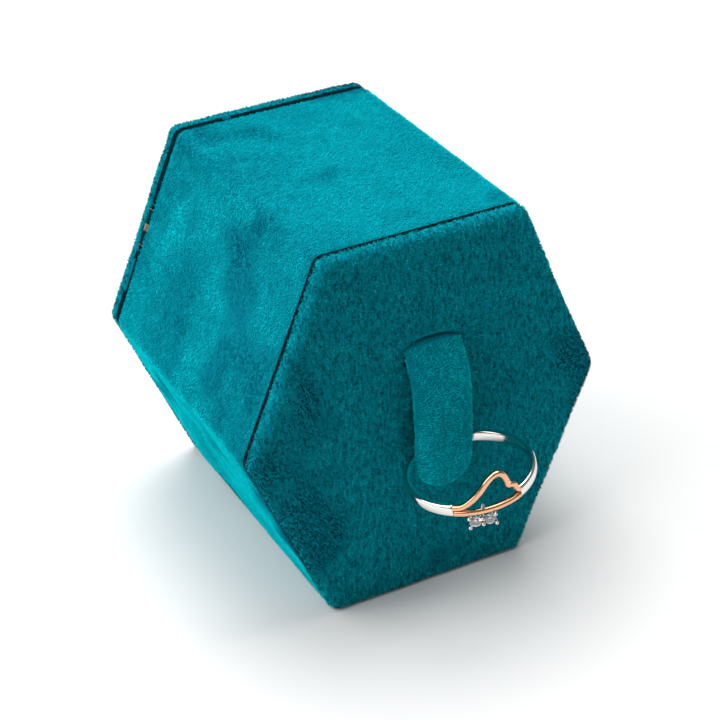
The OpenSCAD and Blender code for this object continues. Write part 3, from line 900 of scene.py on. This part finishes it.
class RINGBOX_OT_sides(bpy.types.Operator):
    """Makes the velvet wrap of the six sides and its pile"""

    bl_idname = "ringbox.sides"
    bl_label = "Side velvet"

    def execute(self, context):
        wrap = piece_from(
            "side_cloth", lambda: shell_bmesh("side"), LOOKS["cloth"], "case", ["side_velvet"])
        make_room(wrap)
        shade_seams(wrap)
        # The strips take the painted seam shade, as the groove round the barrel lies in shade
        piece_from("hinge_strips", hinge_strip_bmesh, LOOKS["glued"], "case")
        piece_from(
            "rim_facing", lambda: facing_bmesh(Y_RIM + CLEAR, Y_RIM + FACING_T, LINING_IN), LOOKS["flock"],
            "case")
        tufts = context.scene.ring_box_velvet.tufts
        for index, side in enumerate(SIDES):
            ground = pile_ground("side")
            others = [f for f in ground.faces if side_of(f.calc_center_median()) != index]
            bmesh.ops.delete(ground, geom=others, context="FACES")
            grow_pile(
                f"{side}_pile", ground, "case", nap=(0, -0.9, 0), seed=21 + index, ruffle=0.7, tufts=tufts)
        return {"FINISHED"}


def side_of(point):
    """The index of the side that a point of the wrap lies on."""
    angle = math.atan2(point.z - MIDDLE, point.x) % TAU
    flat_angle = math.atan2(MIDDLE, flat_half(0))
    limits = (0, flat_angle, math.pi - flat_angle, math.pi, math.pi + flat_angle, TAU - flat_angle, TAU)
    for index in range(6):
        if limits[index] <= angle < limits[index + 1]:
            return index
    return 5


class RINGBOX_OT_lid(bpy.types.Operator):
    """Makes the lid's velvet and pile"""

    bl_idname = "ringbox.lid"
    bl_label = "Lid velvet"

    def execute(self, context):
        lid = piece_from(
            "lid_cloth", lambda: shell_bmesh("lid"), LOOKS["cloth"], "lid", ["lid_velvet"])
        make_room(lid)
        shade_seams(lid)
        inside = low("lid_lining").z
        piece_from(
            "lid_facing", lambda: facing_bmesh(Y_LID - FACING_T, Y_LID - CLEAR, inside), LOOKS["flock"],
            "lid")
        # The lid's pile takes the darker copy, painted shade
        grow_pile(
            "lid_pile", pile_ground("lid"), "lid", nap=(0.2, 0, -0.8), seed=41, ruffle=1.2, tufts=17,
            look="shaded_pile")
        return {"FINISHED"}


# ---- Tongue ----

TONGUE_T = 1.4 * MM  # half thickness of the tongue where it hangs


def tongue_path():
    """Middle layer of the tongue, as (distance in front of the face, height, half thickness)."""
    out = Y_FRONT - TONGUE_LOW.y - TONGUE_T
    thick = TONGUE_T
    # Distance in front of the face, millimetres below the slit, half thickness
    stations = (
        (Y_FRONT - SLIT.y, 0.0, 0.75 * MM), (-0.3 * MM, 0.4, 0.85 * MM), (0.25 * out, 1.6, 1.0 * MM),
        (0.55 * out, 3.5, thick - 0.2 * MM), (0.82 * out, 6.0, thick - 0.1 * MM), (0.96 * out, 9.0, thick),
        (out, 12.5, thick), (out, 16.0, thick), (out, (SLIT.z - TIP_Z) / MM, thick),
    )
    return [Vector((d, SLIT.z - down * MM, h)) for d, down, h in stations]


def smooth_path(points, steps):
    """A Catmull-Rom curve through the points."""
    path = []
    for i in range(len(points) - 1):
        a, b = points[max(i - 1, 0)], points[i]
        c, d = points[i + 1], points[min(i + 2, len(points) - 1)]
        for k in range(steps):
            t = k / steps
            path.append(0.5 * (2 * b + (c - a) * t + (2 * a - 5 * b + 4 * c - d) * t * t
                               + (3 * b - a - 3 * c + d) * t ** 3))
    path.append(points[-1])
    return path


TIP_ROUND = 4.2 * MM  # height over which the tongue narrows to its round tip
TIP_EDGE = 1.3 * MM  # height over which it thins there
AROUND = 40  # points round the tongue


def squarer(value, power):
    """A cosine or sine pushed towards 1 or -1, which makes a round section squarer."""
    return math.copysign(abs(value) ** power, value)


def tongue_rings():
    """Rings of the tongue from its root to just above its tip."""
    path = smooth_path(tongue_path(), 9)
    rings = []
    for i, station in enumerate(path):
        before, after = path[max(i - 1, 0)], path[min(i + 1, len(path) - 1)]
        way = Vector((-(after.x - before.x), after.y - before.y)).normalized()
        side = Vector((-way.y, way.x))
        rise = station.y - TIP_Z
        width = TONGUE_W / 2
        if rise < TIP_ROUND:
            width *= math.sqrt(max(1e-4, 1 - ((TIP_ROUND - rise) / TIP_ROUND) ** 2))
        thick = station.z
        if rise < TIP_EDGE:
            thick *= math.sqrt(max(1e-2, 1 - ((TIP_EDGE - rise) / TIP_EDGE) ** 2))
        ring = []
        for k in range(AROUND):
            a = TAU * k / AROUND
            across = squarer(math.cos(a), 0.8) * width
            deep = squarer(math.sin(a), 0.85) * thick
            y = Y_FRONT - station.x + side.x * deep
            ring.append(Vector((TONGUE_X + across, y, station.y + side.y * deep)))
        rings.append(ring)
    return rings


def tongue_bmesh(closed=True):
    """The tongue's cloth, or the open part of it outside the slit, which the pile grows on."""
    bm = bmesh.new()
    rings = tongue_rings()
    rings = [[wobbled(p, Vector((0, -0.7, 0))) for p in ring] for ring in rings]
    if not closed:
        rings = [r for r in rings if max(p.y for p in r) < Y_FRONT + 0.6 * MM]
    rows = rings_to_faces(bm, rings)
    if closed:
        cap(bm, rows[0], sum(rings[0], Vector()) / AROUND)
    cap(bm, rows[-1], sum(rings[-1], Vector()) / AROUND + Vector((0, 0, -0.05 * MM)))
    bmesh.ops.recalc_face_normals(bm, faces=bm.faces)
    front = min(bm.faces, key=lambda f: f.calc_center_median().y)
    if front.normal.y > 0:
        bmesh.ops.reverse_faces(bm, faces=bm.faces)
    return bm


class RINGBOX_OT_tongue(bpy.types.Operator):
    """Makes the tongue that holds the ring"""

    bl_idname = "ringbox.tongue"
    bl_label = "Tongue"

    def execute(self, context):
        piece_from("tongue_cloth", tongue_bmesh, LOOKS["cloth"], "tongue", ["tongue_velvet"])
        grow_pile(
            "tongue_pile", tongue_bmesh(closed=False), "tongue", nap=(0.9, 0, 0.2), seed=51, ruffle=1.0,
            tufts=28, look="brushed_across")
        return {"FINISHED"}


# ---- Ring ----

def ring_frame():
    """The ring's own axes and radii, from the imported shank: Z is its axis."""
    points = np.array([v.co for v in frame["nodes"]["ring_shank"].data.vertices], float)
    middle = points.mean(0)
    axis = Vector(np.linalg.svd(points - middle, full_matrices=False)[2][2])
    if axis.z < 0:
        axis.negate()
    across = Vector((axis.z, 0, -axis.x)).normalized()
    back = axis.cross(across)
    local = [(Vector(p).dot(across), Vector(p).dot(back), Vector(p).dot(axis)) for p in points]
    xs, ys, zs = zip(*local)
    outer = (max(xs) - min(xs)) / 2
    cx, cy, cz = (max(xs) + min(xs)) / 2, max(ys) - outer, (max(zs) + min(zs)) / 2
    inner = min(math.hypot(x - cx, y - cy) for x, y in zip(xs, ys))
    turn = Matrix((across, back, axis)).transposed().to_4x4()
    turn.translation = across * cx + back * cy + axis * cz
    return turn, outer, inner


RING, RING_OUT, RING_IN = ring_frame()
BAND_MID = (RING_OUT + RING_IN) / 2
BAND_T = RING_OUT - RING_IN
SPLIT_LEFT = 225  # degrees round the ring where the band splits in two
SPLIT_RIGHT = 289  # degrees where the strands meet again
STRAND_W = 0.85 * MM  # width of one strand along the ring's axis
BACK_W = 1.8 * MM  # width of the band at the back
HEART_H = 4.3 * MM
# Heart strand, as degrees round the ring and parts of the heart's height
HEART = (
    (SPLIT_LEFT, 0), (234, 0.05), (244, 0.3), (251, 0.55), (257, 0.8), (263, 0.97),
    (269, 1), (273.4, 0.85), (276, 0.62), (277.4, 0.42), (280.4, 0.38),
    (284, 0.26), (286.4, 0.08), (SPLIT_RIGHT, 0),
)
SECTION = 20  # points round a band's section
SECTION_POWER = 0.7  # makes the section squarer than a round one


def band_bmesh(stations):
    """A rounded band along stations of (degrees, height, width) on the ring's cylinder."""
    bm = bmesh.new()
    middles = []
    for angle, height, _width in stations:
        a = math.radians(angle)
        middles.append(Vector((BAND_MID * math.cos(a), BAND_MID * math.sin(a), height)))
    rings = []
    for i, (angle, _height, width) in enumerate(stations):
        a = math.radians(angle)
        out = Vector((math.cos(a), math.sin(a), 0))
        way = Vector((-out.y, out.x, 0))
        if 0 < i < len(stations) - 1:
            way = (middles[i + 1] - middles[i - 1]).normalized()
        up = out.cross(way).normalized()
        ring = []
        for k in range(SECTION):
            a = TAU * k / SECTION
            wide = squarer(math.cos(a), SECTION_POWER) * BAND_T / 2
            tall = squarer(math.sin(a), SECTION_POWER) * width / 2
            ring.append(RING @ (middles[i] + out * wide + up * tall))
        rings.append(ring)
    rows = rings_to_faces(bm, rings)
    for row, centre in ((rows[0], middles[0]), (rows[-1], middles[-1])):
        cap(bm, row, RING @ centre)
    return bm


def shank_stations():
    """The shank from where the strands meet, round the back, to where they split."""
    count = 150
    first, last = SPLIT_RIGHT, SPLIT_LEFT + 360
    stations = []
    for k in range(count + 1):
        angle = first + (last - first) * k / count
        share = (1 + math.sin(math.radians(angle))) / 2
        stations.append((angle, 0.0, 2 * STRAND_W + (BACK_W - 2 * STRAND_W) * share))
    return stations


def heart_stations():
    """The upper strand, bent to a lopsided heart."""
    points = [Vector((a, h, 0)) for a, h in HEART]
    return [(p.x, STRAND_W / 2 + HEART_H * p.y, STRAND_W) for p in smooth_path(points, 12)]


def strand_stations():
    """The lower strand, which follows the ring."""
    count = 40
    return [(SPLIT_LEFT + (SPLIT_RIGHT - SPLIT_LEFT) * k / count, -STRAND_W / 2, STRAND_W)
            for k in range(count + 1)]


STONE_R = 0.85 * MM
STONE_PITCH = 2.0 * MM  # distance between the middles of the stones
STONES_AT = 249  # degrees round the ring of the middle between the stones
STONE_Z = -STRAND_W - STONE_R - 0.1 * MM  # just below the lower strand
STONE_OUT = RING_OUT - 0.1 * MM  # distance of a girdle from the ring's axis


def stone_place(side):
    """The place of a stone: its Z points out of the ring."""
    angle = math.radians(STONES_AT) + side * math.asin(STONE_PITCH / 2 / STONE_OUT)
    return (RING @ Matrix.Rotation(angle, 4, "Z") @ Matrix.Translation((STONE_OUT, 0, STONE_Z))
            @ Matrix.Rotation(math.pi / 2, 4, "Y"))


def stone_bmesh(place):
    """A round brilliant: table, crown, girdle and pavilion, in flat facets."""
    bm = bmesh.new()
    # Radius, height, corners, and turn in parts of a corner; sizes in parts of the girdle's radius
    rows = (
        (0.56, 0.35, 8, 0.5), (0.82, 0.2, 8, 0.0), (1.0, 0.06, 16, 0.0), (1.0, 0.0, 16, 0.0),
        (0.5, -0.45, 8, 0.5),
    )
    points = []
    for radius, height, count, shift in rows:
        for k in range(count):
            a = TAU * (k + shift) / count
            points.append(Vector((radius * math.cos(a), radius * math.sin(a), height)) * STONE_R)
    points.append(Vector((0, 0, -0.85)) * STONE_R)
    for point in points:
        bm.verts.new(place @ point)
    hull = bmesh.ops.convex_hull(bm, input=bm.verts)
    loose = [v for v in hull["geom_interior"] if isinstance(v, bmesh.types.BMVert)]
    bmesh.ops.delete(bm, geom=loose, context="VERTS")
    return bm


class RINGBOX_OT_ring(bpy.types.Operator):
    """Makes the ring's band, strands and stones"""

    bl_idname = "ringbox.ring"
    bl_label = "Ring"

    def execute(self, context):
        piece_from(
            "shank", lambda: band_bmesh(shank_stations()), LOOKS["silver"], "ring",
            ["ring_shank"])
        piece_from(
            "heart_strand", lambda: band_bmesh(heart_stations()), LOOKS["gold"], "ring",
            ["ring_heart"])
        piece_from(
            "lower_strand", lambda: band_bmesh(strand_stations()), LOOKS["gold"], "ring",
            ["ring_strand"])
        for name, side in (("left_stone", -1), ("right_stone", 1)):
            piece_from(
                name, lambda: stone_bmesh(stone_place(side)), LOOKS["stone"], "ring", ["stones"],
                smooth=False)
        dress("stone_setting", LOOKS["silver"])
        return {"FINISHED"}


class RINGBOX_OT_hardware(bpy.types.Operator):
    """Gives the boards, hinge, magnets and rivets their materials"""

    bl_idname = "ringbox.hardware"
    bl_label = "Boards and hardware"

    def execute(self, context):
        for node in frame["nodes"]:
            if node.startswith("panel_") or node == "lid_board":
                dress(node, LOOKS["board"])
        # These two show only in the slit, where they take the painted seam shade that stands for the slit's
        # shadow
        for node in ("front_board", "tongue_core"):
            dress(node, LOOKS["glued"])
        for node in ("hinge_leaf_case", "hinge_leaf_lid", "hinge_pin"):
            dress(node, LOOKS["hinge"])
        for node in ("tongue_anchor", "tongue_rivets", "hinge_brads_case", "hinge_brads_lid"):
            dress(node, LOOKS["steel"])
        for node in ("case_magnet", "lid_magnet"):
            dress(node, LOOKS["magnet"])
        for node in ("inner_lining", "front_lining", "lid_lining"):
            dress(node, LOOKS["flock"])
        return {"FINISHED"}


# ---- Stage ----

CAMERA_AT = Vector((-116.99, -228.33, 184.59)) * MM
CAMERA_YAW = math.radians(27.596)
CAMERA_PITCH = math.radians(31.897)
CAMERA_ROLL = math.radians(-1.363)
KEY_AT = Vector((0.12, 0.2, 0.68))  # above and behind the box, to the right
KEY_SIZE = 0.7
LEFT_AT = Vector((-0.48, 0.12, 0.5))  # above it on the left
LEFT_SIZE = 0.8
LEFT_SHARE = 0.8  # power of the left light, in parts of the key light's
FLOOR_HALF = 3.0


def camera_matrix():
    """The camera's place: it looks along +Y turned by the yaw, and down by the pitch."""
    yaw, pitch, roll = CAMERA_YAW, CAMERA_PITCH, CAMERA_ROLL
    ahead = Vector((math.sin(yaw) * math.cos(pitch), math.cos(yaw) * math.cos(pitch), -math.sin(pitch)))
    right = Vector((math.cos(yaw), -math.sin(yaw), 0))
    up = right.cross(ahead)
    turned_right = right * math.cos(roll) + up * math.sin(roll)
    turned_up = up * math.cos(roll) - right * math.sin(roll)
    turn = Matrix((turned_right, turned_up, -ahead)).transposed().to_4x4()
    return Matrix.Translation(CAMERA_AT) @ turn


def area_light(name, place, aim, size, power, tint):
    """A round soft light that points at aim."""
    data = bpy.data.lights.new(name, "AREA")
    data.shape = "DISK"
    data.size = size
    data.energy = power
    data.color = tint
    made = bpy.data.objects.new(name, data)
    bpy.context.scene.collection.objects.link(made)
    made.location = place
    made.rotation_euler = (aim - place).to_track_quat("-Z", "Y").to_euler()
    return made


class RINGBOX_OT_stage(bpy.types.Operator):
    """Makes the camera, the floor and the lights"""

    bl_idname = "ringbox.stage"
    bl_label = "Stage"

    def execute(self, context):
        settings = context.scene.ring_box_stage
        data = bpy.data.cameras.new("camera")
        data.lens = settings.lens
        data.sensor_width = 36
        data.clip_start = 0.01
        camera = bpy.data.objects.new("camera", data)
        camera.matrix_world = camera_matrix()
        context.scene.collection.objects.link(camera)
        context.scene.camera = camera

        bm = bmesh.new()
        square = ((-1, -1), (1, -1), (1, 1), (-1, 1))
        bm.faces.new([bm.verts.new((x * FLOOR_HALF, y * FLOOR_HALF, 0)) for x, y in square])
        mesh = bpy.data.meshes.new("floor")
        bm.to_mesh(mesh)
        bm.free()
        floor = bpy.data.objects.new("floor", mesh)
        context.scene.collection.objects.link(floor)
        mesh.materials.append(floor_material(settings))

        aim = Vector((0, 0, MIDDLE))
        power = settings.key_power
        area_light("key", KEY_AT, aim, KEY_SIZE, power, (1.0, 0.99, 0.98))
        area_light("left", LEFT_AT, aim, LEFT_SIZE, power * LEFT_SHARE, (0.99, 0.99, 1.0))

        world = bpy.data.worlds.new("studio")
        world.use_nodes = True
        back = world.node_tree.nodes["Background"]
        back.inputs["Color"].default_value = (1, 1, 1, 1)
        back.inputs["Strength"].default_value = settings.fill
        context.scene.world = world
        context.scene.view_settings.view_transform = "Standard"
        return {"FINISHED"}


class RINGBOX_PT_panel(bpy.types.Panel):
    """Lists the pieces and their settings"""

    bl_label = "Ring box"
    bl_idname = "RINGBOX_PT_panel"
    bl_space_type = "VIEW_3D"
    bl_region_type = "UI"
    bl_category = "Ring box"

    def draw(self, context):
        layout = self.layout
        scene = context.scene
        for group in (scene.ring_box_velvet, scene.ring_box_ring, scene.ring_box_stage):
            box = layout.box()
            for name in group.__annotations__:
                box.prop(group, name)
        for maker in OPERATORS:
            layout.operator(maker.bl_idname)


GROUPS = (VelvetSettings, RingSettings, StageSettings)
OPERATORS = (
    RINGBOX_OT_looks, RINGBOX_OT_front, RINGBOX_OT_sides, RINGBOX_OT_lid, RINGBOX_OT_tongue,
    RINGBOX_OT_ring, RINGBOX_OT_hardware, RINGBOX_OT_stage,
)


def register():
    """Adds the settings, operators and panel."""
    for maker in GROUPS + OPERATORS + (RINGBOX_PT_panel,):
        bpy.utils.register_class(maker)
    bpy.types.Scene.ring_box_velvet = bpy.props.PointerProperty(type=VelvetSettings)
    bpy.types.Scene.ring_box_ring = bpy.props.PointerProperty(type=RingSettings)
    bpy.types.Scene.ring_box_stage = bpy.props.PointerProperty(type=StageSettings)


def unregister():
    """Takes them away again."""
    del bpy.types.Scene.ring_box_stage
    del bpy.types.Scene.ring_box_ring
    del bpy.types.Scene.ring_box_velvet
    for maker in reversed(GROUPS + OPERATORS + (RINGBOX_PT_panel,)):
        bpy.utils.unregister_class(maker)


def main():
    """Makes every piece and the stage."""
    register()
    for maker in OPERATORS:
        group, name = maker.bl_idname.split(".")
        getattr(getattr(bpy.ops, group), name)()


if __name__ == "__main__":
    main()
